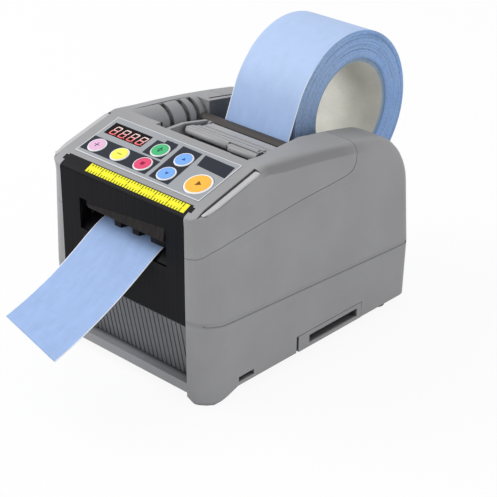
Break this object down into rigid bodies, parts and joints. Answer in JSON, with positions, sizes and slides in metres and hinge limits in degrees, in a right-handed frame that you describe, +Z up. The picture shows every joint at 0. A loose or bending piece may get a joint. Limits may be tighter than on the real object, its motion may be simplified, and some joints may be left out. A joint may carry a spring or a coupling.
{
  "type": "electric tape dispenser",
  "caption": "Countertop tape dispenser: moulded housing with sloping key panel, front outlet with cutter, and a tape roll lying on rollers in a well at the back.",
  "frame": {"origin": "on the floor, under the middle of the whole machine with its roll and hanging tape", "axes": "+X to the right seen from the front, +Y from the outlet to the roll, +Z up"},
  "size_m": [0.156, 0.333, 0.1983],
  "materials": {
    "case_upper": "fine satin moulded plastic",
    "case_lower": "fine satin moulded plastic",
    "black_plastic": "satin moulded plastic",
    "rib_plastic": "satin moulded plastic",
    "steel_plate": "zinc plated sheet",
    "base_steel": "black painted sheet",
    "shaft_steel": "ground bar",
    "blade_steel": "ground tool steel",
    "brass": "sintered bronze or turned brass",
    "gear_plastic": "acetal",
    "rubber": "moulded rubber",
    "roller_rubber": "ground rubber sleeve",
    "roller_plastic": "acetal roller",
    "cradle_plastic": "moulded roller",
    "overlay_film": "printed satin film",
    "smoked_window": "smoked acrylic",
    "board": "solder mask",
    "dark_component": "moulded component",
    "motor_can": "plated can",
    "tape_film": "woven backed tape",
    "tape_wound": "wound tape",
    "cardboard": "paper core",
    "pink": "printed keycap",
    "yellow": "printed keycap",
    "red": "printed keycap",
    "green": "printed keycap",
    "blue": "printed keycap",
    "orange": "printed keycap"
  },
  "bodies": {
    "casing": {"lower_case": "case_lower", "upper_case": "case_upper", "base_plate": "base_steel", "rubber_feet": "rubber", "base_screws": "shaft_steel", "front_cover": "black_plastic", "rib_panel": "rib_plastic", "panel_overlay": "overlay_film", "display_window": "smoked_window", "display_module": "dark_component", "status_led": "dark_component", "control_board": "board", "tact_switches": "dark_component", "flap_pin": "shaft_steel", "entry_bar": "dark_component", "frame_left": "steel_plate", "frame_right": "steel_plate", "tie_rods": "shaft_steel", "guide_plate": "steel_plate", "bushes": "brass", "feed_motor": "motor_can", "cutter_motor": "motor_can", "fixed_blade": "blade_steel", "tape_sensor": "dark_component", "cradle_pins": "shaft_steel", "tape_web": "tape_film", "tape_tail": "tape_film", "main_board": "board", "dc_jack": "dark_component", "power_switch": "black_plastic", "side_clip": "case_lower"},
    "plus_key": {"button_plus": "pink"},
    "minus_key": {"button_minus": "yellow"},
    "red_key": {"button_red": "red"},
    "green_key": {"button_green": "green"},
    "blue_rear_key": {"button_blue_rear": "blue"},
    "blue_front_key": {"button_blue_front": "blue"},
    "start_key": {"button_start": "orange"},
    "flap": {"guide_flap": "case_upper"},
    "roll": {"tape_roll": "tape_wound", "tape_core": "cardboard"},
    "cradle_front": {"cradle_roller_front": "cradle_plastic"},
    "cradle_rear": {"cradle_roller_rear": "cradle_plastic"},
    "feed": {"feed_roller": "roller_rubber", "feed_shaft": "shaft_steel", "feed_gear": "gear_plastic"},
    "feed_drive": {"feed_pinion": "brass"},
    "press": {"press_roller": "roller_plastic"},
    "guide": {"guide_roller": "roller_plastic"},
    "cutter": {"cutter_yoke": "steel_plate", "cutter_shaft": "shaft_steel", "cutter_blade": "blade_steel"},
    "cutter_drive": {"cutter_pinion": "brass"},
    "rocker": {"power_rocker": "dark_component"}
  },
  "joints": [
    {"name": "plus_press", "type": "slide", "parent": "casing", "child": "plus_key", "axis": [0, 0.2756, -0.9613], "range_m": [0, 0.0005], "stiffness_N_per_m": 2000},
    {"name": "minus_press", "type": "slide", "parent": "casing", "child": "minus_key", "axis": [0, 0.2756, -0.9613], "range_m": [0, 0.0005], "stiffness_N_per_m": 2000},
    {"name": "red_press", "type": "slide", "parent": "casing", "child": "red_key", "axis": [0, 0.2756, -0.9613], "range_m": [0, 0.0005], "stiffness_N_per_m": 2000},
    {"name": "green_press", "type": "slide", "parent": "casing", "child": "green_key", "axis": [0, 0.2756, -0.9613], "range_m": [0, 0.0005], "stiffness_N_per_m": 2000},
    {"name": "blue_rear_press", "type": "slide", "parent": "casing", "child": "blue_rear_key", "axis": [0, 0.2756, -0.9613], "range_m": [0, 0.0005], "stiffness_N_per_m": 2000},
    {"name": "blue_front_press", "type": "slide", "parent": "casing", "child": "blue_front_key", "axis": [0, 0.2756, -0.9613], "range_m": [0, 0.0005], "stiffness_N_per_m": 2000},
    {"name": "start_press", "type": "slide", "parent": "casing", "child": "start_key", "axis": [0, 0.2756, -0.9613], "range_m": [0, 0.0005], "stiffness_N_per_m": 2000},
    {"name": "flap_lift", "type": "hinge", "parent": "casing", "child": "flap", "pos_m": [0, 0.02415, 0.137], "axis": [-1, 0, 0], "range_deg": [0, 75]},
    {"name": "roll_spin", "type": "hinge", "parent": "casing", "child": "roll", "pos_m": [0, 0.10765, 0.1393], "axis": [1, 0, 0], "continuous": true},
    {"name": "cradle_front_spin", "type": "hinge", "parent": "casing", "child": "cradle_front", "pos_m": [0, 0.06439, 0.08775], "axis": [1, 0, 0], "continuous": true},
    {"name": "cradle_rear_spin", "type": "hinge", "parent": "casing", "child": "cradle_rear", "pos_m": [0, 0.11515, 0.07443], "axis": [1, 0, 0], "continuous": true},
    {"name": "feed_spin", "type": "hinge", "parent": "casing", "child": "feed", "pos_m": [0, -0.04585, 0.0925], "axis": [1, 0, 0], "continuous": true},
    {"name": "feed_drive_spin", "type": "hinge", "parent": "casing", "child": "feed_drive", "pos_m": [0.04, -0.03235, 0.07641], "axis": [1, 0, 0], "continuous": true},
    {"name": "press_spin", "type": "hinge", "parent": "casing", "child": "press", "pos_m": [0, -0.04585, 0.1115], "axis": [1, 0, 0], "continuous": true},
    {"name": "guide_spin", "type": "hinge", "parent": "casing", "child": "guide", "pos_m": [0, 0.02353, 0.1095], "axis": [1, 0, 0], "continuous": true},
    {"name": "cutter_stroke", "type": "hinge", "parent": "casing", "child": "cutter", "pos_m": [0, -0.02385, 0.12], "axis": [1, 0, 0], "range_deg": [0, 13]},
    {"name": "cutter_drive_spin", "type": "hinge", "parent": "casing", "child": "cutter_drive", "pos_m": [-0.04, -0.00583, 0.10738], "axis": [1, 0, 0], "range_deg": [-34.67, 0]},
    {"name": "rocker_tip", "type": "hinge", "parent": "casing", "child": "rocker", "pos_m": [0.034, 0.11715, 0.032], "axis": [1, 0, 0], "range_deg": [0, 16]}
  ],
  "couplings": [
    {"joint": "cradle_front_spin", "follows": "roll_spin", "ratio": -7.375},
    {"joint": "cradle_rear_spin", "follows": "roll_spin", "ratio": -9.8333},
    {"joint": "feed_spin", "follows": "roll_spin", "ratio": 5.9},
    {"joint": "feed_drive_spin", "follows": "roll_spin", "ratio": -14.75},
    {"joint": "press_spin", "follows": "roll_spin", "ratio": -7.375},
    {"joint": "guide_spin", "follows": "roll_spin", "ratio": -9.8333},
    {"joint": "cutter_drive_spin", "follows": "cutter_stroke", "ratio": -2.6667}
  ]
}
